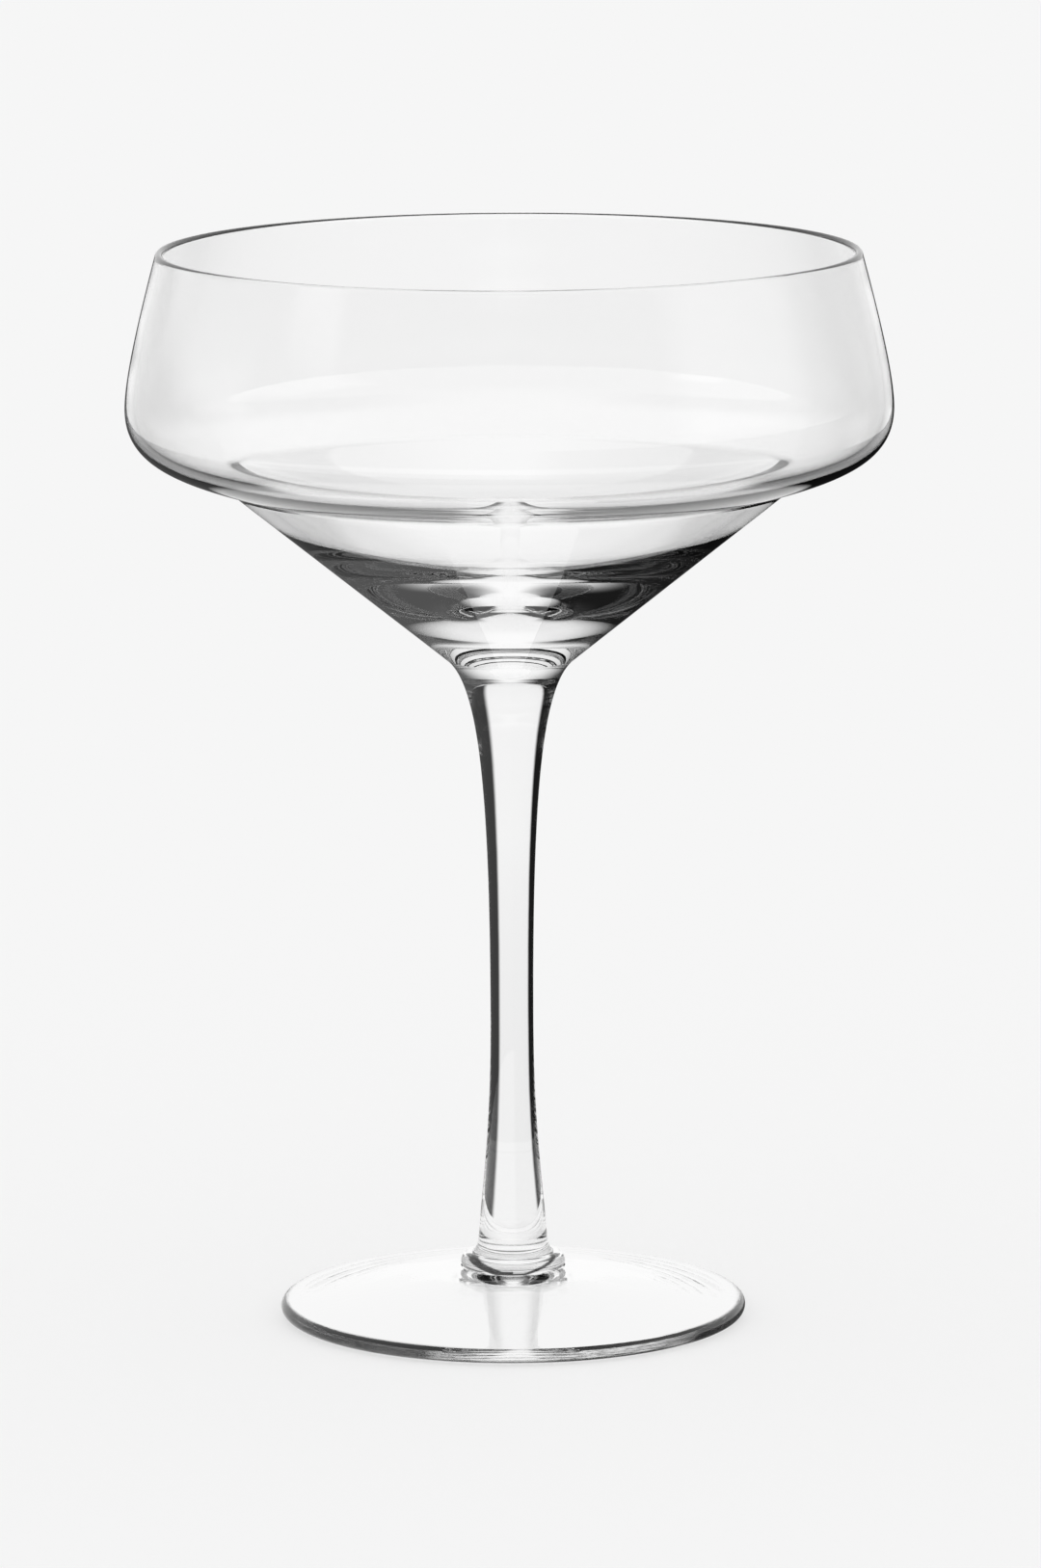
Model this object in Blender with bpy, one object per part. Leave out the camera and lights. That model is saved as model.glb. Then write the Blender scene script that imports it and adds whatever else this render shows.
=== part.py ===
"""Martini glass with a shouldered bowl, in clear hand-made glass.

Four gathers of hot glass are fused one on another, from the table up: the foot, the collar, the
drawn stem and the blown bowl. Each is a solid of revolution about Z, turned from an outline in
the XZ plane. The origin is on the axis, in the plane that the foot stands on.
"""

import math

import bpy
from mathutils import Vector
from mathutils.geometry import interpolate_bezier, intersect_line_line

# Driving dimensions, in metres.
FOOT_RADIUS = 0.0370
FOOT_EDGE = 0.0024
FOOT_RISE = 0.0075
FOOT_WALL = 0.0024
RING_WIDTH = 0.0010
HOLLOW_TURN_RADIUS = 0.0120

COLLAR_RADIUS = 0.0083
COLLAR_HEIGHT = 0.0023
COLLAR_LOWER_ROUND = 0.0004

STEM_LENGTH = 0.0955
STEM_BASE_RADIUS = 0.0067
STEM_ANKLE_RADIUS = 0.00552
STEM_ANKLE_HEIGHT = 0.0020
STEM_WAIST_RADIUS = 0.0034
STEM_WAIST_HEIGHT = 0.0387
STEM_TOP_RADIUS = 0.0101

CONE_HEIGHT = 0.0276
CREASE_RADIUS = 0.0445
SHOULDER_HEIGHT = 0.0125
SHOULDER_RADIUS = 0.0603
WALL_HEIGHT = 0.0246
RIM_RADIUS = 0.0553
RIM_WALL = 0.0012
CREASE_WALL = 0.0018
CONE_WALL = 0.0022
CREASE_ROUND = 0.0020
DISH_SHARE = 0.80

# Slopes of the outlines, from the horizontal, but the rim's from the vertical.
RIM_TILT = math.radians(15.0)
UNDERSIDE_SLOPE = math.radians(17.0)
FOOT_SLOPE = math.radians(11.0)

# Fused faces are modelled this far apart.
JOINT_GAP = 0.0003

BOWL_SEGMENTS = 64
FOOT_SEGMENTS = 64
COLLAR_SEGMENTS = 40
STEM_SEGMENTS = 32

# Heights above the table that follow from the sizes.
COLLAR_TOP_Z = FOOT_RISE + COLLAR_HEIGHT
BOWL_BASE_Z = COLLAR_TOP_Z + STEM_LENGTH
CREASE_Z = BOWL_BASE_Z + CONE_HEIGHT
SHOULDER_Z = CREASE_Z + SHOULDER_HEIGHT
RIM_Z = SHOULDER_Z + WALL_HEIGHT

GLASS_COLOUR = (0.97, 0.975, 0.975, 1.0)
GLASS_IOR = 1.52
POLISHED = 0.01
HAND_WORKED = 0.03


def clear_scene():
    for thing in list(bpy.data.objects):
        bpy.data.objects.remove(thing, do_unlink=True)


def glass(name, roughness):
    """Clear glass, smoother where it is blown than where a tool has shaped it."""
    material = bpy.data.materials.new(name)
    material.use_nodes = True
    surface = material.node_tree.nodes["Principled BSDF"]
    surface.inputs["Base Color"].default_value = GLASS_COLOUR
    surface.inputs["Metallic"].default_value = 0.0
    surface.inputs["Roughness"].default_value = roughness
    surface.inputs["IOR"].default_value = GLASS_IOR
    surface.inputs["Transmission Weight"].default_value = 1.0
    return material


def point(radius, height):
    return Vector((radius, 0.0, height))


def sloping(angle):
    """Unit vector away from the axis, rising at this angle."""
    return Vector((math.cos(angle), 0.0, math.sin(angle)))


def curve(start, start_handle, end_handle, end, pieces):
    """Points of a cubic curve, both ends included."""
    return list(interpolate_bezier(start, start_handle, end_handle, end, pieces + 1))


def arc(centre, radius, start, end, pieces):
    """Points of a round stretch from one angle to another."""
    turn = (end - start) / pieces
    return [centre + radius * sloping(start + turn * step) for step in range(pieces + 1)]


def joined(*stretches):
    """The stretches end to end, with each shared point kept once."""
    outline = [stretches[0][0]]
    for stretch in stretches:
        for place in stretch:
            if (place - outline[-1]).length > 1e-6:
                outline.append(place)
    return outline


def turned(name, outline, segments, material):
    """A closed solid, turned from an outline that leaves the axis, runs down outside and comes back."""
    mesh = bpy.data.meshes.new(name)
    edges = [(index, index + 1) for index in range(len(outline) - 1)]
    mesh.from_pydata(outline, edges, [])
    mesh.materials.append(material)
    piece = bpy.data.objects.new(name, mesh)
    bpy.context.scene.collection.objects.link(piece)
    screw = piece.modifiers.new("turn", "SCREW")
    screw.axis = "Z"
    screw.angle = 2.0 * math.pi
    screw.steps = segments
    screw.render_steps = segments
    screw.use_merge_vertices = True
    screw.merge_threshold = 1e-6
    screw.use_smooth_shade = True
    return piece


def foot():
    """A disc that falls from a pad under the collar to a round edge, hollowed underneath to one wall."""
    edge_round = FOOT_EDGE / 2.0
    edge_centre = point(FOOT_RADIUS - edge_round, edge_round)
    pad_rim = point(COLLAR_RADIUS, FOOT_RISE)
    edge_top = edge_centre + point(0.0, edge_round)
    reach = (edge_top.x - pad_rim.x) / 3.0
    fall = sloping(-FOOT_SLOPE)
    lift = (pad_rim.z - edge_top.z) / 4.0
    top = curve(pad_rim, pad_rim + reach * fall, edge_top + point(-reach, lift), edge_top, 6)
    edge = arc(edge_centre, edge_round, math.pi / 2.0, -math.pi / 2.0, 6)
    ring_inside = edge[-1] + point(-RING_WIDTH, 0.0)
    slope = (pad_rim.z - edge_top.z) / (edge_top.x - pad_rim.x)
    turn = point(HOLLOW_TURN_RADIUS, slope * (ring_inside.x - HOLLOW_TURN_RADIUS))
    hollow_top = point(0.0, FOOT_RISE - FOOT_WALL)
    bend = HOLLOW_TURN_RADIUS / 3.0
    hollow = curve(turn, turn + point(-bend, slope * bend), hollow_top + point(bend, 0.0), hollow_top, 4)
    outline = joined([point(0.0, FOOT_RISE)], top, edge, [ring_inside], hollow)
    return turned("foot", outline, FOOT_SEGMENTS, glass("foot_glass", HAND_WORKED))


def collar():
    """A button of glass pressed flat on the foot: its side stands upright low down and rolls in above."""
    base_z = FOOT_RISE + JOINT_GAP
    top = point(STEM_BASE_RADIUS, COLLAR_TOP_Z)
    low_centre = point(COLLAR_RADIUS - COLLAR_LOWER_ROUND, base_z + COLLAR_LOWER_ROUND)
    widest = low_centre + point(COLLAR_LOWER_ROUND, 0.0)
    over = point(0.55 * (widest.x - top.x), 0.0)
    up = point(0.0, 0.55 * (top.z - widest.z))
    roll = curve(top, top + over, widest + up, widest, 7)
    low = arc(low_centre, COLLAR_LOWER_ROUND, 0.0, -math.pi / 2.0, 3)
    outline = joined([point(0.0, COLLAR_TOP_Z)], roll, low, [point(0.0, base_z)])
    return turned("collar", outline, COLLAR_SEGMENTS, glass("collar_glass", HAND_WORKED))


def cone_fall():
    """Unit vector down the outside of the bowl's cone, which the top of the stem carries on."""
    fall = point(STEM_TOP_RADIUS, BOWL_BASE_Z) - point(CREASE_RADIUS, CREASE_Z)
    return fall.normalized()


def stem():
    """A solid rod drawn out to a waist, trumpet-shaped at the bowl and spread a little at the collar."""
    top = point(STEM_TOP_RADIUS, BOWL_BASE_Z - JOINT_GAP)
    base = point(STEM_BASE_RADIUS, COLLAR_TOP_Z + JOINT_GAP)
    ankle = point(STEM_ANKLE_RADIUS, base.z + STEM_ANKLE_HEIGHT)
    waist = point(STEM_WAIST_RADIUS, COLLAR_TOP_Z + STEM_WAIST_HEIGHT)
    flare = 0.70 * (top.x - waist.x) / -cone_fall().x
    above = point(0.0, 0.68 * (top.z - waist.z))
    upper = curve(top, top + flare * cone_fall(), waist + above, waist, 15)
    below = point(0.0, -0.50 * (waist.z - ankle.z))
    spread = point(-0.40 * (ankle.x - waist.x), 0.27 * (waist.z - ankle.z))
    lower = curve(waist, waist + below, ankle + spread, ankle, 8)
    drop = -0.45 * STEM_ANKLE_HEIGHT * spread.normalized()
    out = point(-0.55 * (base.x - ankle.x), 0.0)
    spur = curve(ankle, ankle + drop, base + out, base, 5)
    outline = joined([point(0.0, top.z)], upper, lower, spur, [point(0.0, base.z)])
    return turned("stem", outline, STEM_SEGMENTS, glass("stem_glass", POLISHED))


def shoulder_outline():
    """The outside of the bowl from the rim to the crease, upright where it is widest."""
    rim = point(RIM_RADIUS, RIM_Z - RIM_WALL / 2.0 * (1.0 - math.sin(RIM_TILT)))
    widest = point(SHOULDER_RADIUS, SHOULDER_Z)
    crease = point(CREASE_RADIUS, CREASE_Z)
    down_wall = Vector((math.sin(RIM_TILT), 0.0, -math.cos(RIM_TILT)))
    above = point(0.0, 0.22 * WALL_HEIGHT)
    wall = curve(rim, rim + 0.27 * WALL_HEIGHT * down_wall, widest + above, widest, 8)
    drop = point(0.0, -0.64 * SHOULDER_HEIGHT)
    along = 0.57 * (SHOULDER_RADIUS - CREASE_RADIUS) * sloping(UNDERSIDE_SLOPE)
    under = curve(widest, widest + drop, crease + along, crease, 10)
    return joined(wall, under)


def inset(outline, wall_start, wall_end):
    """The outline moved inwards by a wall that changes evenly along it."""
    moved = []
    last = len(outline) - 1
    for index, place in enumerate(outline):
        along = (outline[min(index + 1, last)] - outline[max(index - 1, 0)]).normalized()
        inward = Vector((along.z, 0.0, -along.x))
        wall = wall_start + (wall_end - wall_start) * index / last
        moved.append(place + wall * inward)
    return moved


def dish_outline(crease, beyond):
    """The inside below the crease: a round dish that runs into a cone, and a rounded turn at its top."""
    fall = cone_fall()
    inward = Vector((fall.z, 0.0, -fall.x))
    cone_top = point(CREASE_RADIUS, CREASE_Z) + CONE_WALL * inward
    mitre = intersect_line_line(cone_top, cone_top + fall, crease, beyond)[0]
    dish_rim = cone_top + (cone_top.x - DISH_SHARE * CREASE_RADIUS) / -fall.x * fall
    dish_radius = dish_rim.x / -fall.z
    slope = math.atan2(-fall.z, -fall.x)
    dish = arc(dish_rim + dish_radius * inward, dish_radius, -math.pi / 2.0, slope - math.pi / 2.0, 9)
    half_turn = 0.5 * CREASE_ROUND * fall
    turn_end = beyond + 0.5 * (mitre - beyond)
    turn = curve(mitre + 2.0 * half_turn, mitre + half_turn, turn_end, beyond, 4)
    return joined([point(0.0, dish[0].z)], dish[1:], turn)


def bowl():
    """A blown shell on a solid base: floor, inside wall, lip, outside wall, cone and fused base."""
    outside = shoulder_outline()
    inside = inset(outside, RIM_WALL, CREASE_WALL)
    inside.reverse()
    bottom = dish_outline(inside[0], inside[1])
    lip_centre = (inside[-1] + outside[0]) / 2.0
    lip = arc(lip_centre, RIM_WALL / 2.0, RIM_TILT + math.pi, RIM_TILT, 4)
    base = [point(STEM_TOP_RADIUS, BOWL_BASE_Z), point(0.0, BOWL_BASE_Z)]
    outline = joined(bottom, inside[1:], lip[1:-1], outside, base)
    return turned("bowl", outline, BOWL_SEGMENTS, glass("bowl_glass", POLISHED))


def build():
    clear_scene()
    glassware = bpy.data.objects.new("martini_glass", None)
    bpy.context.scene.collection.objects.link(glassware)
    for piece in (foot(), collar(), stem(), bowl()):
        piece.parent = glassware


build()
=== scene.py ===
import math

import bpy
import numpy as np
from mathutils import Matrix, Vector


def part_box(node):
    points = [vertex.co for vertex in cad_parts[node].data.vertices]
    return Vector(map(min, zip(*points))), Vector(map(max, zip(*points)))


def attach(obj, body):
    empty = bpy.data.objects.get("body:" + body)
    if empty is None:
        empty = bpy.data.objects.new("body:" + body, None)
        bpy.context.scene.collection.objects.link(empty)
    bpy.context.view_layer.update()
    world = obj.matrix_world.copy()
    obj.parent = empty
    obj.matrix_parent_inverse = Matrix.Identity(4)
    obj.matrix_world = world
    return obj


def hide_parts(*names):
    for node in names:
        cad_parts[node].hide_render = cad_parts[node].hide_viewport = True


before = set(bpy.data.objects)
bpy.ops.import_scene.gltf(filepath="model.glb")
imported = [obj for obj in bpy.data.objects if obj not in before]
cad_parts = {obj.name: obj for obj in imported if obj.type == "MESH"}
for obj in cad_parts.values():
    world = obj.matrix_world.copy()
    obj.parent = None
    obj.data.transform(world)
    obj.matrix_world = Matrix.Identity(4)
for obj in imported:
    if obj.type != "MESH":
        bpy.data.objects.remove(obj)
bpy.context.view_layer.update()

# Camera. A long lens stands well back, a little above the rim, and looks down ten degrees at the
# stem, so that the mouth and the foot show as narrow ellipses.
camera_place = (0.0015, -1.3651, 0.3222)
camera_pitch = math.radians(9.847)
camera_roll = -0.00405
camera_lens = 201.35
camera_sensor = 36.0
camera_data = bpy.data.cameras.new("camera")
camera_data.sensor_width = camera_sensor
camera_data.lens = camera_lens
camera = bpy.data.objects.new("camera", camera_data)
tilt_down = Matrix.Rotation(math.pi / 2.0 - camera_pitch, 4, "X")
camera.matrix_world = Matrix.Translation(camera_place) @ tilt_down @ Matrix.Rotation(camera_roll, 4, "Z")
bpy.context.scene.collection.objects.link(camera)
bpy.context.scene.camera = camera


# Foot. A gather of clear glass spun out with a paddle into a disc about two and a half millimetres
# thick. It falls from a pad under the collar to a fire-rounded edge, and underneath it is hollow,
# so that it stands on a narrow ring just inside the edge.
foot_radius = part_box("foot")[1][0]
foot_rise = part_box("foot")[1][2]
foot_edge = 0.0024
foot_wall = 0.0024
ring_width = 0.0010
hollow_turn_radius = 0.0120
pad_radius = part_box("collar")[1][0]
foot_fall = math.radians(11.0)
rounds = 288
same_place = 1e-7


def bend(start, start_handle, end_handle, end, count):
    """Cubic curve of count points: the four given points weighted by the Bernstein terms of t, 0 to 1."""
    t = np.linspace(0.0, 1.0, count)[:, None]
    weights = np.hstack([(1 - t) ** 3, 3 * (1 - t) ** 2 * t, 3 * (1 - t) * t ** 2, t ** 3])
    return weights @ np.array([start, start_handle, end_handle, end], float)


def round_edge(centre, radius, start, end, count):
    """Arc of count points: the centre plus the radius times (cos a, sin a), a from start to end."""
    a = np.linspace(start, end, count)[:, None]
    return np.array(centre) + radius * np.hstack([np.cos(a), np.sin(a)])


def chained(*stretches):
    """Stretches of (radius, height) end to end, each repeated point kept once."""
    line = np.vstack(stretches)
    step = np.linalg.norm(np.diff(line, axis=0), axis=1)
    return line[np.concatenate([[True], step > same_place])]


def foot_profile():
    """Down the top from the pad, round the edge, along the ring, and up the hollow to the axis.

    The top and the turn of the hollow are curves whose handles reach a third of their width.
    """
    edge_round = foot_edge / 2.0
    centre = (foot_radius - edge_round, edge_round)
    edge_top = np.array([centre[0], foot_edge])
    pad = np.array([pad_radius, foot_rise])
    reach = (edge_top[0] - pad[0]) / 3.0
    fall = reach * np.array([math.cos(foot_fall), -math.sin(foot_fall)])
    lift = np.array([-reach, (pad[1] - edge_top[1]) / 4.0])
    top = bend(pad, pad + fall, edge_top + lift, edge_top, count=40)
    edge = round_edge(centre, edge_round, math.pi / 2.0, -math.pi / 2.0, count=24)
    ring_inside = centre[0] - ring_width
    slope = (pad[1] - edge_top[1]) / (edge_top[0] - pad[0])
    turn = np.array([hollow_turn_radius, slope * (ring_inside - hollow_turn_radius)])
    reach = hollow_turn_radius / 3.0
    middle = np.array([0.0, foot_rise - foot_wall])
    hollow = bend(turn, turn + [-reach, slope * reach], middle + [reach, 0.0], middle, count=14)
    run = np.linspace((ring_inside, 0.0), turn, num=24)
    return chained(top, edge, run, hollow)


def turned(name, profile, count):
    """The profile (r, z) carried round the axis: x = r cos u, y = r sin u for count even angles u.

    A profile that stops short of the axis is closed by a fan, which is the face it is fused by.
    """
    on_axis = profile[[0, -1], 0] < same_place
    rings = profile[int(on_axis[0]):len(profile) - int(on_axis[1])]
    u = np.arange(count) * 2.0 * math.pi / count
    radius, height = rings[:, :1], rings[:, 1:]
    grid = np.stack([radius * np.cos(u), radius * np.sin(u), height + 0.0 * u], axis=-1)
    poles = np.array([[0.0, 0.0, profile[0, 1]], [0.0, 0.0, profile[-1, 1]]])
    points = np.vstack([grid.reshape(-1, 3), poles])
    index = np.arange(len(rings) * count).reshape(-1, count)
    beside = np.roll(index, -1, axis=1)
    quads = np.stack([index[:-1], index[1:], beside[1:], beside[:-1]], axis=-1).reshape(-1, 4)
    first_pole, last_pole = len(points) - 2, len(points) - 1
    first_fan = np.stack([index[0], beside[0], np.full(count, first_pole)], axis=-1)
    last_fan = np.stack([beside[-1], index[-1], np.full(count, last_pole)], axis=-1)
    mesh = bpy.data.meshes.new(name)
    mesh.from_pydata(points.tolist(), [], quads.tolist() + first_fan.tolist() + last_fan.tolist())
    mesh.update()
    fused = np.repeat([0, int(not on_axis[0]), int(not on_axis[1])], [len(quads), count, count])
    mesh.polygons.foreach_set("material_index", fused)
    mesh.polygons.foreach_set("use_smooth", np.ones(len(fused), bool))
    mesh.set_sharp_from_angle(angle=math.radians(35.0))
    piece = bpy.data.objects.new(name, mesh)
    bpy.context.scene.collection.objects.link(piece)
    return piece


def node(tree, kind, *feeds, **settings):
    """A new node with these settings; each feed goes to the input in its place, a socket or a value."""
    made = tree.nodes.new("ShaderNode" + kind)
    for key, value in settings.items():
        setattr(made, key, value)
    for place, feed in enumerate(feeds):
        if isinstance(feed, bpy.types.NodeSocket):
            tree.links.new(feed, made.inputs[place])
        elif feed is not None:
            made.inputs[place].default_value = feed
    return made


def maths(tree, kind, *feeds):
    """The result of a Math node of this kind."""
    return node(tree, "Math", *feeds, operation=kind).outputs[0]


def both(tree, first, second):
    """1 where both masks are 1: their product."""
    return maths(tree, "MULTIPLY", first, second)


def either(tree, first, second):
    """1 where one of the masks is 1: the greater of the two."""
    return maths(tree, "MAXIMUM", first, second)


def ramp(tree, value, start, end, low=0.0, high=1.0):
    """Low up to start, then in a straight line to high at end, and level after that."""
    return node(tree, "MapRange", value, start, end, low, high).outputs[0]


def turn_of(tree, east, north):
    """The turn about the axis in degrees: 0 at the back, positive to the right, 180 in front."""
    return maths(tree, "MULTIPLY", maths(tree, "ARCTAN2", east, north), 180.0 / math.pi)


def node_group(name, inputs, outputs):
    """A new shader node group with these sockets, each a name and a type; also its two ends."""
    made = bpy.data.node_groups.new(name, "ShaderNodeTree")
    for direction, sockets in (("INPUT", inputs), ("OUTPUT", outputs)):
        for socket_name, kind in sockets:
            made.interface.new_socket(socket_name, in_out=direction, socket_type="NodeSocket" + kind)
    return made, made.nodes.new("NodeGroupInput").outputs, made.nodes.new("NodeGroupOutput").inputs


# The ripple that hot glass keeps from its tools: two noises over the object, drawn out sideways.
ripple_feeds = [("Across", "Float"), ("Upward", "Float"), ("Fine share", "Float")]
ripple, ripple_in, ripple_out = node_group("tool_ripple", ripple_feeds, [("Height", "Float")])
broad_scale, broad_detail = 1.0, 1.0
fine_scale, fine_detail = 3.7, 2.0
ripple_place = node(ripple, "TexCoord").outputs["Object"]
ripple_scale = node(ripple, "CombineXYZ", ripple_in[0], ripple_in[0], ripple_in[1]).outputs[0]
ripple_drawn = node(ripple, "VectorMath", ripple_place, ripple_scale, operation="MULTIPLY").outputs[0]
broad = node(ripple, "TexNoise", ripple_drawn, None, broad_scale, broad_detail).outputs[0]
fine = node(ripple, "TexNoise", ripple_drawn, None, fine_scale, fine_detail).outputs[0]
fine_height = maths(ripple, "MULTIPLY", fine, ripple_in[2])
ripple.links.new(maths(ripple, "ADD", broad, fine_height), ripple_out[0])

# Where a point lies on the glass: its turn about the axis, its radius, how far back it is, and its
# height.
place_parts = [("Turn", "Float"), ("Radius", "Float"), ("North", "Float"), ("Up", "Float")]
place, _, place_out = node_group("place", [], place_parts)
east, north, up = node(place, "SeparateXYZ", node(place, "TexCoord").outputs["Object"]).outputs
level_place = node(place, "CombineXYZ", east, north).outputs[0]
radius = node(place, "VectorMath", level_place, operation="LENGTH").outputs["Value"]
for part_value, part_socket in zip((turn_of(place, east, north), radius, north, up), place_out):
    place.links.new(part_value, part_socket)

# Painted shade, a dark tint that stands for dark surroundings which a thick edge bends into view: clear
# where the mask is 0, and this shade of grey where it is 1.
dark_feeds = [("Mask", "Float"), ("Shade", "Float")]
painted_shade, darkness_in, darkness_out = node_group("painted_shade", dark_feeds, [("Color", "Color")])
dark_mix = node(painted_shade, "Mix", darkness_in[0], data_type="RGBA")
dark_mix.inputs[6].default_value = (1.0, 1.0, 1.0, 1.0)
painted_shade.links.new(darkness_in[1], dark_mix.inputs[7])
painted_shade.links.new(dark_mix.outputs[2], darkness_out[0])

glass_index = 1.52


def clear_glass(name, across, upward, fine_share, depth):
    """Clear glass whose surface carries the ripple to this depth in metres, at these scales per metre."""
    material = bpy.data.materials.new(name)
    material.use_nodes = True
    tree = material.node_tree
    surface = tree.nodes["Principled BSDF"]
    surface.inputs["Base Color"].default_value = (1.0, 1.0, 1.0, 1.0)
    surface.inputs["Roughness"].default_value = 0.0
    surface.inputs["IOR"].default_value = glass_index
    surface.inputs["Transmission Weight"].default_value = 1.0
    pattern = node(tree, "Group", across, upward, fine_share, node_tree=ripple)
    bump = node(tree, "Bump")
    bump.inputs["Distance"].default_value = depth
    tree.links.new(pattern.outputs["Height"], bump.inputs["Height"])
    tree.links.new(bump.outputs[0], surface.inputs["Normal"])
    return material


def paint_shade(material, mask, shade):
    """Paint shade on the glass: tint it to this shade where the mask is 1."""
    tree = material.node_tree
    tint = node(tree, "Group", mask, shade, node_tree=painted_shade)
    tree.links.new(tint.outputs["Color"], tree.nodes["Principled BSDF"].inputs["Base Color"])


def band(tree, value, start, full, fading, end):
    """1 from full to fading, 0 before start and after end, and straight lines between."""
    return both(tree, ramp(tree, value, start, full), ramp(tree, value, end, fading))


# Where two gathers are fused there is no surface left, so light goes straight on.
fused_face = bpy.data.materials.new("fused_face")
fused_face.use_nodes = True
fused_face.node_tree.nodes.clear()
fused_through = node(fused_face.node_tree, "BsdfTransparent")
node(fused_face.node_tree, "OutputMaterial", fused_through.outputs[0])

# Painted shade on the foot's round edge, for the dark surroundings that the thick edge bends into view: a
# band of turns on the left and one on the right, and a thin line low down in front. Turns are in degrees,
# and the rest in metres.
painted_edge_shade = 0.02
edge_starts, edge_full = 0.0013, 0.0007
left_turns = (-172.0, -158.0, -100.0, -84.0)
right_turns = (84.0, 100.0, 128.0, 142.0)
line_top, line_full = 0.0008, 0.0004
line_back, line_front = -0.020, -0.028
foot_glass = clear_glass("foot_glass", across=60.0, upward=90.0, fine_share=0.15, depth=0.0001)
tree = foot_glass.node_tree
on_foot = node(tree, "Group", node_tree=place).outputs
at_edge = ramp(tree, on_foot["Radius"], foot_radius - edge_starts, foot_radius - edge_full)
sides = either(tree, band(tree, on_foot["Turn"], *left_turns), band(tree, on_foot["Turn"], *right_turns))
front = ramp(tree, on_foot["North"], line_back, line_front)
front_line = both(tree, ramp(tree, on_foot["Up"], line_top, line_full), front)
# Paints the shade onto the edge's side bands and its front line.
paint_shade(foot_glass, both(tree, either(tree, sides, front_line), at_edge), painted_edge_shade)
foot = turned("foot_glass", foot_profile(), rounds)
foot.data.materials.append(foot_glass)
foot.data.materials.append(fused_face)
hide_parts("foot")
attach(foot, "root")


# Collar. A small gather dropped on the foot and pressed by the weight of the stem, so that its
# side bulges low down and rolls in above.
collar_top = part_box("collar")[1][2]
collar_low_round = 0.0004
stem_base_radius = 0.0067
bulge = 0.55
collar_tuck = 0.0003


def collar_profile():
    """From the stem's edge out and down to the widest place, then in under it to the foot's pad."""
    widest = np.array([pad_radius, foot_rise + collar_low_round + collar_tuck])
    top = np.array([stem_base_radius, collar_top])
    over = np.array([bulge * (widest[0] - top[0]), 0.0])
    up = np.array([0.0, bulge * (top[1] - widest[1])])
    roll = bend(top, top + over, widest + up, widest, count=20)
    seat = np.array([pad_radius - collar_tuck, foot_rise])
    seat_handle = np.array([pad_radius - collar_low_round / 2.0, foot_rise])
    under = bend(widest, widest - [0.0, collar_tuck], seat_handle, seat, count=8)
    return chained(roll, under)


# Painted shade on the collar's front, for the dark surroundings that it bends into view: a dark line like a
# smile, low in the middle and raised at its ends. Levels and widths are shares of the collar's height, and
# turns are in degrees.
painted_collar_shade = 0.004
smile_middle, smile_end = 168.0, 116.0
smile_low, smile_high = 0.06, 1.0
left_half_width, right_half_width = 0.30, 0.17
width_turns = (-60.0, 60.0)
smile_ease = 0.10
smile_fades = (104.0, 118.0)
collar_glass = clear_glass("collar_glass", across=60.0, upward=90.0, fine_share=0.15, depth=0.0001)
tree = collar_glass.node_tree
on_collar = node(tree, "Group", node_tree=place).outputs
turn_off = maths(tree, "ABSOLUTE", on_collar["Turn"])
level = ramp(tree, on_collar["Up"], foot_rise, collar_top)
smile = ramp(tree, turn_off, smile_middle, smile_end, smile_low, smile_high)
off_smile = maths(tree, "ABSOLUTE", maths(tree, "SUBTRACT", level, smile))
half_width = ramp(tree, on_collar["Turn"], *width_turns, left_half_width, right_half_width)
on_smile = ramp(tree, off_smile, half_width, maths(tree, "SUBTRACT", half_width, smile_ease))
# Paints the shade onto the collar along the smile.
paint_shade(collar_glass, both(tree, on_smile, ramp(tree, turn_off, *smile_fades)), painted_collar_shade)
collar = turned("collar_glass", collar_profile(), rounds)
collar.data.materials.append(collar_glass)
collar.data.materials.append(fused_face)
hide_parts("collar")
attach(collar, "root")


# Stem. A solid rod pulled by hand out of the bowl's base: it leaves the cone like a trumpet, thins
# to a waist, swells slowly and spreads where it was set down hot on the collar.
bowl_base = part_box("bowl")[0][2]
stem_top_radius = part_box("stem")[1][0]
waist_radius = 0.0034
waist_height = 0.0387
ankle_radius = 0.00552
ankle_height = 0.0020
flare_reach = 0.70
waist_reach = 0.68
leg_reach = 0.50
leg_lean = (0.40, 0.27)
spread_drop = 0.45
spread_reach = 0.55
stem_rounds = 160
crease_radius = 0.0445
cone_height = 0.0276
crease_height = bowl_base + cone_height
neck = np.array([stem_top_radius, bowl_base])
crease = np.array([crease_radius, crease_height])
cone_fall = (neck - crease) / np.linalg.norm(neck - crease)


def stem_profile():
    """Down the trumpet to the waist, down the swelling leg to the ankle, and out along the spread.

    Each is one curve, whose handles are shares of its width or its height.
    """
    waist = np.array([waist_radius, collar_top + waist_height])
    flare = flare_reach * (neck[0] - waist[0]) / -cone_fall[0]
    above = np.array([0.0, waist_reach * (neck[1] - waist[1])])
    trumpet = bend(neck, neck + flare * cone_fall, waist + above, waist, count=90)
    ankle = np.array([ankle_radius, collar_top + ankle_height])
    leg_height = waist[1] - ankle[1]
    lean = np.array([-leg_lean[0] * (ankle[0] - waist[0]), leg_lean[1] * leg_height])
    leg = bend(waist, waist - [0.0, leg_reach * leg_height], ankle + lean, ankle, count=60)
    base = np.array([stem_base_radius, collar_top])
    drop = spread_drop * ankle_height * lean / np.linalg.norm(lean)
    inward = np.array([-spread_reach * (base[0] - ankle[0]), 0.0])
    spread = bend(ankle, ankle - drop, base + inward, base, count=16)
    return chained(trumpet, leg, spread)


drawn_glass = clear_glass("drawn_glass", across=260.0, upward=35.0, fine_share=0.1, depth=0.00006)
stem = turned("stem_glass", stem_profile(), stem_rounds)
stem.data.materials.append(drawn_glass)
stem.data.materials.append(fused_face)
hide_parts("stem")
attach(stem, "root")


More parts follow.
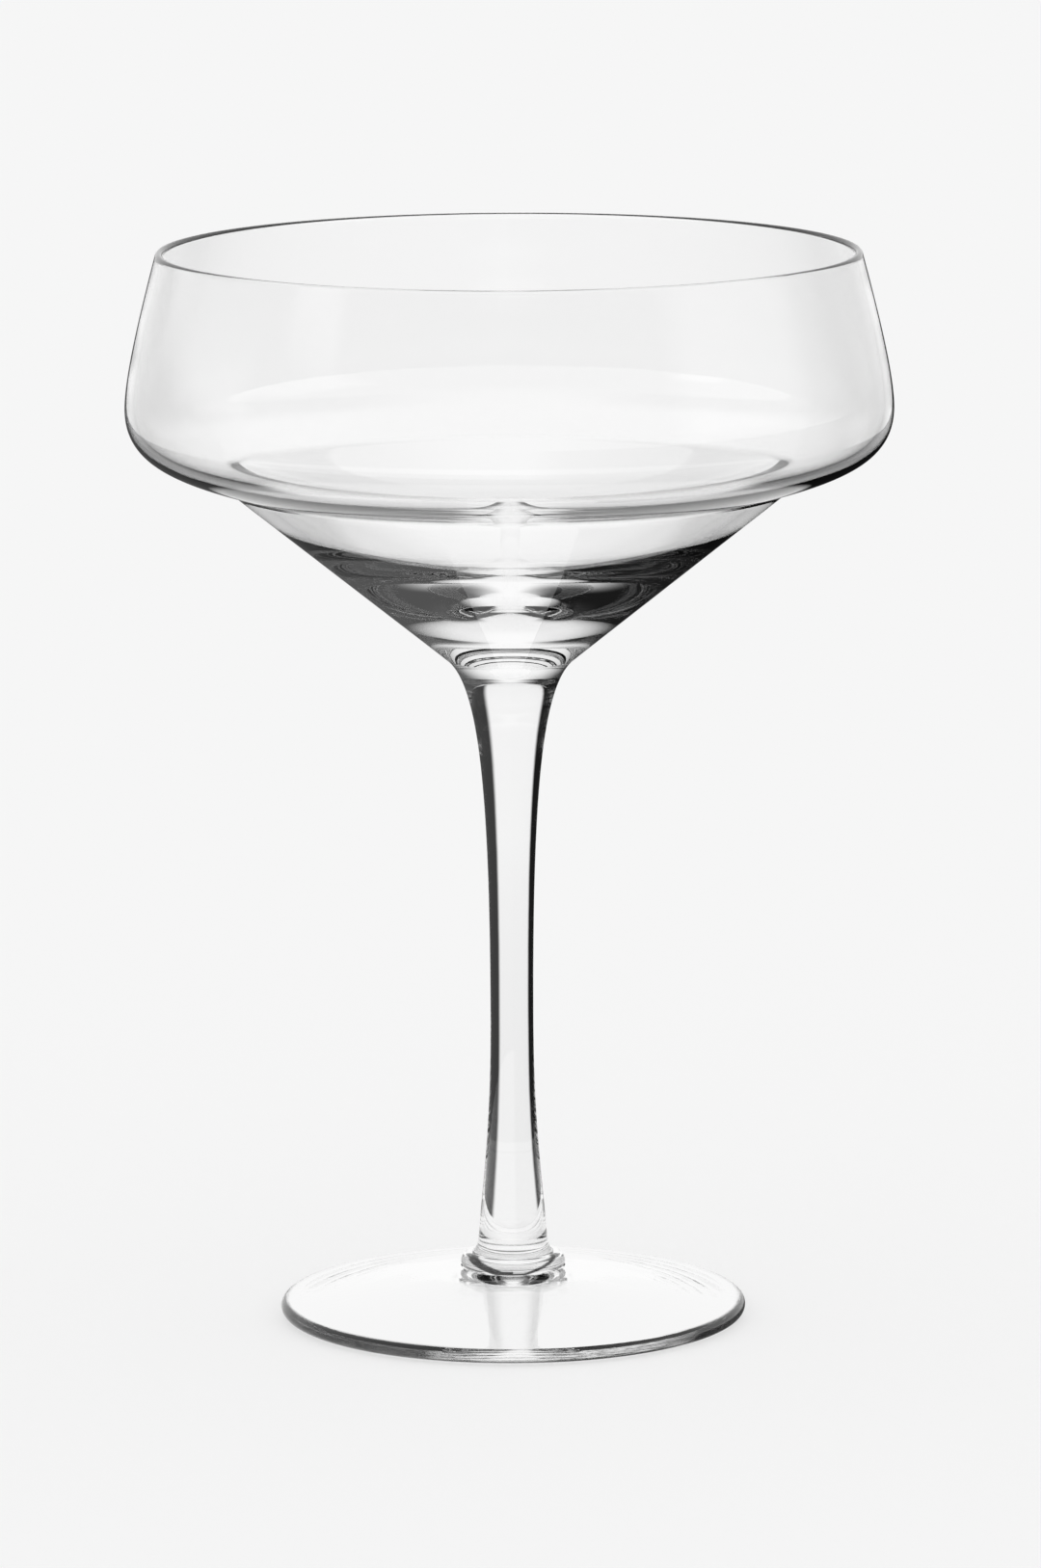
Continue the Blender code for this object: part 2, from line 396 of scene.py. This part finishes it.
# Bowl. Blown into a mould: a cone with a thick, dished floor, a crease, a round shoulder, and a
# wall that leans in to a fire-polished lip a little over a millimetre thick.
shoulder_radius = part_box("bowl")[1][0]
shoulder_rise = 0.0125
shoulder_height = crease_height + shoulder_rise
rim_radius = 0.0553
rim_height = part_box("bowl")[1][2]
rim_tilt = math.radians(15.0)
underside_slope = math.radians(17.0)
rim_wall = 0.0012
crease_wall = 0.0018
cone_wall = 0.0022
dish_share = 0.80
crease_round = 0.0006
inside_round = 0.0009
wall_reach = (0.27, 0.22)
shoulder_reach = 0.64
underside_reach = 0.57
knee_reach = 0.6


def shoulder_profile():
    """The outside from the lip down the wall, round the shoulder and in along its underside.

    Two curves, whose handles are shares of the height or the width that they cross.
    """
    rim = np.array([rim_radius, rim_height - rim_wall / 2.0 * (1.0 - math.sin(rim_tilt))])
    widest = np.array([shoulder_radius, shoulder_height])
    wall_height = rim_height - shoulder_height
    down = wall_reach[0] * wall_height * np.array([math.sin(rim_tilt), -math.cos(rim_tilt)])
    wall = bend(rim, rim + down, widest + [0.0, wall_reach[1] * wall_height], widest, count=40)
    drop = np.array([0.0, -shoulder_reach * (shoulder_height - crease_height)])
    out = np.array([math.cos(underside_slope), math.sin(underside_slope)])
    along = underside_reach * (shoulder_radius - crease_radius) * out
    return chained(wall, bend(widest, widest + drop, crease + along, crease, count=50))


def bowl_profile():
    """From the floor's middle up the inside, over the lip and down the outside to the stem.

    The inside is the outside moved in along its normal by the wall, the cone moved in by its
    own wall, and a round dish tangent to the cone; the two inside runs meet in a small curve.
    """
    outside = shoulder_profile()
    way = np.gradient(outside, axis=0)
    way /= np.linalg.norm(way, axis=1)[:, None]
    wall = np.linspace(rim_wall, crease_wall, len(outside))[:, None]
    inside = (outside + wall * np.stack([way[:, 1], -way[:, 0]], axis=1))[::-1]
    inward = np.array([cone_fall[1], -cone_fall[0]])
    cone_top = crease + cone_wall * inward
    under = inside[3] - inside[0]
    sides = np.linalg.solve(np.stack([cone_fall, -under], axis=1), inside[0] - cone_top)
    mitre = cone_top + sides[0] * cone_fall
    cone_end = mitre + inside_round * cone_fall
    inside = inside[(inside[:, 0] > mitre[0]) & (np.linalg.norm(inside - mitre, axis=1) > inside_round)]
    half_turn = knee_reach * inside_round
    knee = bend(cone_end, cone_end - half_turn * cone_fall,
                inside[0] - half_turn * under / np.linalg.norm(under), inside[0], count=12)
    dish_rim = cone_top + (cone_top[0] - dish_share * crease_radius) / -cone_fall[0] * cone_fall
    dish_radius = dish_rim[0] / -cone_fall[1]
    slope = math.atan2(-cone_fall[1], -cone_fall[0])
    dish_middle = dish_rim + dish_radius * inward
    dish = round_edge(dish_middle, dish_radius, -math.pi / 2.0, slope - math.pi / 2.0, count=50)
    dish[0, 0] = 0.0
    lip = round_edge((inside[-1] + outside[0]) / 2.0, rim_wall / 2.0, rim_tilt + math.pi, rim_tilt, count=14)
    shoulder = outside[np.linalg.norm(outside - crease, axis=1) > crease_round]
    turn_end = crease + crease_round * cone_fall
    last = shoulder[-1]
    turn = bend(last, last + knee_reach * (crease - last), turn_end + knee_reach * (crease - turn_end),
                turn_end, count=10)
    return chained(dish, np.linspace(dish[-1], cone_end, num=8), knee, inside, lip[1:-1], shoulder, turn,
                   np.linspace(turn_end, neck, num=30))


blown_glass = clear_glass("blown_glass", across=25.0, upward=90.0, fine_share=0.1, depth=0.00005)
bowl = turned("bowl_glass", bowl_profile(), rounds)
bowl.data.materials.append(blown_glass)
bowl.data.materials.append(fused_face)
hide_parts("bowl")
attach(bowl, "root")


# Studio. The glass stands on a pale table in a tent of even light. Two dark cards stand out of
# view on either side, and the glass bends them into its edges, which is what draws its outline.
# An azimuth is a turn as above, and a height is an angle over the horizon, both in degrees.
backdrop_pale = 0.913
table_pale = 0.922
shadow_depth = 0.35
tent_light = 0.90
far_light = 0.975
tent_ends, far_begins = 0.1, 0.6
table_radius = 6.0
table_corners = 96
table_drop = 0.0003

# The cards that light meets when it goes straight through the glass.
left_card, right_card = (26.0, 82.0), (-82.0, -38.0)
card_low, card_high = -11.5, 50.0
card_edge, card_foot = 4.0, 2.0
left_shade, right_shade = 0.04, 0.01
every_height = (-90.0, 90.0)

# The wider dark that light meets when it was mirrored inside the glass at least once.
left_depths, right_depths = (28.0, 210.0), (-210.0, -30.0)
table_depths, air_depths = (-48.0, 120.0), (-90.0, 70.0)
depths_edge, table_depths_foot, air_depths_foot = 16.0, 4.0, 2.0
depths_shade = 0.08
one_inner_mirror = 0.5

# Where the cards' feet lie on the table, as the distance from the axis and as the height at which
# the light left the glass. That height is worked out as if the light left it over the axis.
clear_ground_radius = 0.045
low_exit, steep = 0.066, -24.0
thin_exit, near_ground = 0.030, 0.26
far_ground_radius = 0.75
foot_exit, foot_ground = 0.010, 0.28

# The table as the outside of the glass mirrors it: one broad shade on the right, and a dark one on
# either side for what leaves the cone below the crease.
bounced_light = 0.95
bounced_card, bounced_shade = (60.0, 170.0, *every_height, 8.0, 1.0), 0.15
left_cone_card, left_cone_shade = (-210.0, -5.0, *every_height, 5.0, 1.0), 0.10
right_cone_card, right_cone_shade = (5.0, 210.0, *every_height, 5.0, 1.0), 0.01
cone_lean = 0.15
dark_cone_top, dark_cone_ease = 0.130, 0.003
dark_cone_foot = 0.012

# The card: 1 inside two azimuths and two heights, eased at the edges.
card_sockets = ("Azimuth", "Height", "Start", "End", "Bottom", "Top", "Side ease", "Foot ease")
card_feeds = [(socket_name, "Float") for socket_name in card_sockets]
card, card_in, card_out = node_group("card", card_feeds, [("Mask", "Float")])


def rises(value, at, ease):
    """0 below at and 1 above it, eased over as much again on either side."""
    low, high = maths(card, "SUBTRACT", at, ease), maths(card, "ADD", at, ease)
    return node(card, "MapRange", value, low, high, interpolation_type="SMOOTHSTEP").outputs[0]


started = rises(card_in["Azimuth"], card_in["Start"], card_in["Side ease"])
ended = rises(card_in["Azimuth"], card_in["End"], card_in["Side ease"])
over_foot = rises(card_in["Height"], card_in["Bottom"], card_in["Foot ease"])
over_top = rises(card_in["Height"], card_in["Top"], card_in["Side ease"])
across = maths(card, "SUBTRACT", started, ended)
upright = maths(card, "SUBTRACT", over_foot, over_top)
card.links.new(both(card, across, upright), card_out[0])


def mixed(tree, share, first, second):
    """The first value where the share is 0, and the second where it is 1."""
    return node(tree, "Mix", share, None, first, second, data_type="FLOAT").outputs[0]


def hung(tree, light, shade, azimuth, height, *edges):
    """The light, or the shade where a card with these edges hangs in front of it.

    The edges are its two azimuths, its two heights, and the ease of its sides and of its foot.
    """
    shadow = node(tree, "Group", azimuth, height, *edges, node_tree=card)
    return mixed(tree, shadow.outputs["Mask"], light, shade)


def over(tree, value, limit):
    """1 where the value is above the limit."""
    return maths(tree, "GREATER_THAN", value, limit)


def under(tree, value, limit):
    """1 where the value is below the limit."""
    return maths(tree, "LESS_THAN", value, limit)


a = np.linspace(0.0, 2.0 * math.pi, table_corners, endpoint=False)
floor_points = np.stack([table_radius * np.cos(a), table_radius * np.sin(a), -table_drop + 0.0 * a], axis=-1)
floor_mesh = bpy.data.meshes.new("floor")
floor_mesh.from_pydata(floor_points.tolist(), [], [list(range(len(a)))])
floor = bpy.data.objects.new("floor", floor_mesh)
bpy.context.scene.collection.objects.link(floor)
table = bpy.data.materials.new("table")
table.use_nodes = True
tree = table.node_tree
tree.nodes.clear()
path = node(tree, "LightPath").outputs
ground = node(tree, "NewGeometry").outputs["Position"]
east, north = node(tree, "SeparateXYZ", ground).outputs[:2]
azimuth = turn_of(tree, east, north)
away = node(tree, "VectorMath", ground, operation="LENGTH").outputs["Value"]

# The exit's height by Pythagoras, from the ray's length and the distance to the axis, and then the
# angle under the horizon at which the light runs down from there.
ray_squared = maths(tree, "MULTIPLY", path["Ray Length"], path["Ray Length"])
away_squared = maths(tree, "MULTIPLY", away, away)
exit_squared = maths(tree, "MAXIMUM", 0.0, maths(tree, "SUBTRACT", ray_squared, away_squared))
left_at = maths(tree, "SQRT", exit_squared)
height = maths(tree, "MULTIPLY", maths(tree, "ARCTAN2", left_at, away), -180.0 / math.pi)

# Straight through: open table, with the cards standing on it where they are low or far enough.
low = both(tree, under(tree, left_at, low_exit), over(tree, height, steep))
low = either(tree, low, over(tree, height, card_low))
off_axis = either(tree, over(tree, left_at, thin_exit), under(tree, away, near_ground))
low = either(tree, both(tree, low, off_axis), over(tree, away, far_ground_radius))
off_middle = over(tree, away, clear_ground_radius)
open_light = ramp(tree, away, tent_ends, far_begins, tent_light, far_light)
card_edges = (*every_height, card_edge, card_foot)
below = hung(tree, open_light, left_shade, azimuth, height, *left_card, *card_edges)
below = hung(tree, below, right_shade, azimuth, height, *right_card, *card_edges)
below = mixed(tree, both(tree, off_middle, low), open_light, below)

# Mirrored inside the glass first: the wider dark, except for what leaves the foot and lands near.
depths_edges = (*table_depths, depths_edge, table_depths_foot)
inner = hung(tree, open_light, depths_shade, azimuth, height, *left_depths, *depths_edges)
inner = hung(tree, inner, right_shade, azimuth, height, *right_depths, *depths_edges)
off_foot = either(tree, over(tree, left_at, foot_exit), over(tree, away, foot_ground))
folded = both(tree, both(tree, off_middle, off_foot), over(tree, path["Glossy Depth"], one_inner_mirror))
below = mixed(tree, folded, below, inner)

# Mirrored by the outside.
bounced = hung(tree, bounced_light, bounced_shade, azimuth, height, *bounced_card)
mirrored = hung(tree, bounced, left_cone_shade, azimuth, height, *left_cone_card)
mirrored = hung(tree, mirrored, right_cone_shade, azimuth, height, *right_cone_card)
above = maths(tree, "SUBTRACT", left_at, maths(tree, "MULTIPLY", away, cone_lean))
on_cone = ramp(tree, above, dark_cone_top + dark_cone_ease, dark_cone_top - dark_cone_ease)
on_cone = both(tree, on_cone, over(tree, left_at, dark_cone_foot))
bounced = mixed(tree, on_cone, bounced, mirrored)

glow = node(tree, "Emission", mixed(tree, path["Is Transmission Ray"], bounced, below))
paint = node(tree, "BsdfDiffuse", (table_pale, table_pale, table_pale, 1.0))
even = node(tree, "Emission", (table_pale, table_pale, table_pale, 1.0))
seen = node(tree, "MixShader", shadow_depth, even.outputs[0], paint.outputs[0])
bent = either(tree, path["Is Transmission Ray"], path["Is Glossy Ray"])
lit = node(tree, "MixShader", bent, seen.outputs[0], glow.outputs[0])
node(tree, "OutputMaterial", lit.outputs[0])
floor_mesh.materials.append(table)

# The air round the table holds the same cards, and three soft boxes that only the outside of the
# glass mirrors. A box is given as a card's edges, and its light is told against the even light.
even_light = 1.0
right_box, right_box_light = (80.0, 126.0, 2.0, 46.0, 8.0, 4.0), 1.8
small_box, small_box_light = (-124.0, -106.0, 16.0, 28.0, 3.0, 4.0), 2.0
long_box, long_box_light = (-94.0, -44.0, 4.0, 12.0, 6.0, 3.0), 1.8
world = bpy.data.worlds.new("studio")
bpy.context.scene.world = world
world.use_nodes = True
tree = world.node_tree
tree.nodes.clear()
east, north, up = node(tree, "SeparateXYZ", node(tree, "TexCoord").outputs["Generated"]).outputs
azimuth = turn_of(tree, east, north)
height = maths(tree, "MULTIPLY", maths(tree, "ARCSINE", up), 180.0 / math.pi)
path = node(tree, "LightPath").outputs
card_edges = (card_low, card_high, card_edge, card_foot)
through = hung(tree, far_light, left_shade, azimuth, height, *left_card, *card_edges)
through = hung(tree, through, right_shade, azimuth, height, *right_card, *card_edges)
depths_edges = (*air_depths, depths_edge, air_depths_foot)
inner = hung(tree, far_light, depths_shade, azimuth, height, *left_depths, *depths_edges)
inner = hung(tree, inner, right_shade, azimuth, height, *right_depths, *depths_edges)
through = mixed(tree, over(tree, path["Glossy Depth"], one_inner_mirror), through, inner)
mirrored = hung(tree, even_light, right_box_light, azimuth, height, *right_box)
mirrored = hung(tree, mirrored, small_box_light, azimuth, height, *small_box)
mirrored = hung(tree, mirrored, long_box_light, azimuth, height, *long_box)
dimmed = maths(tree, "MULTIPLY", path["Is Camera Ray"], even_light - backdrop_pale)
light = mixed(tree, path["Is Glossy Ray"], maths(tree, "SUBTRACT", even_light, dimmed), mirrored)
light = mixed(tree, path["Is Transmission Ray"], light, through)
node(tree, "OutputWorld", node(tree, "Background", light).outputs[0])

scene = bpy.context.scene
scene.view_settings.view_transform = "Standard"
scene.cycles.max_bounces = 32
scene.cycles.transmission_bounces = 32
scene.cycles.glossy_bounces = 16
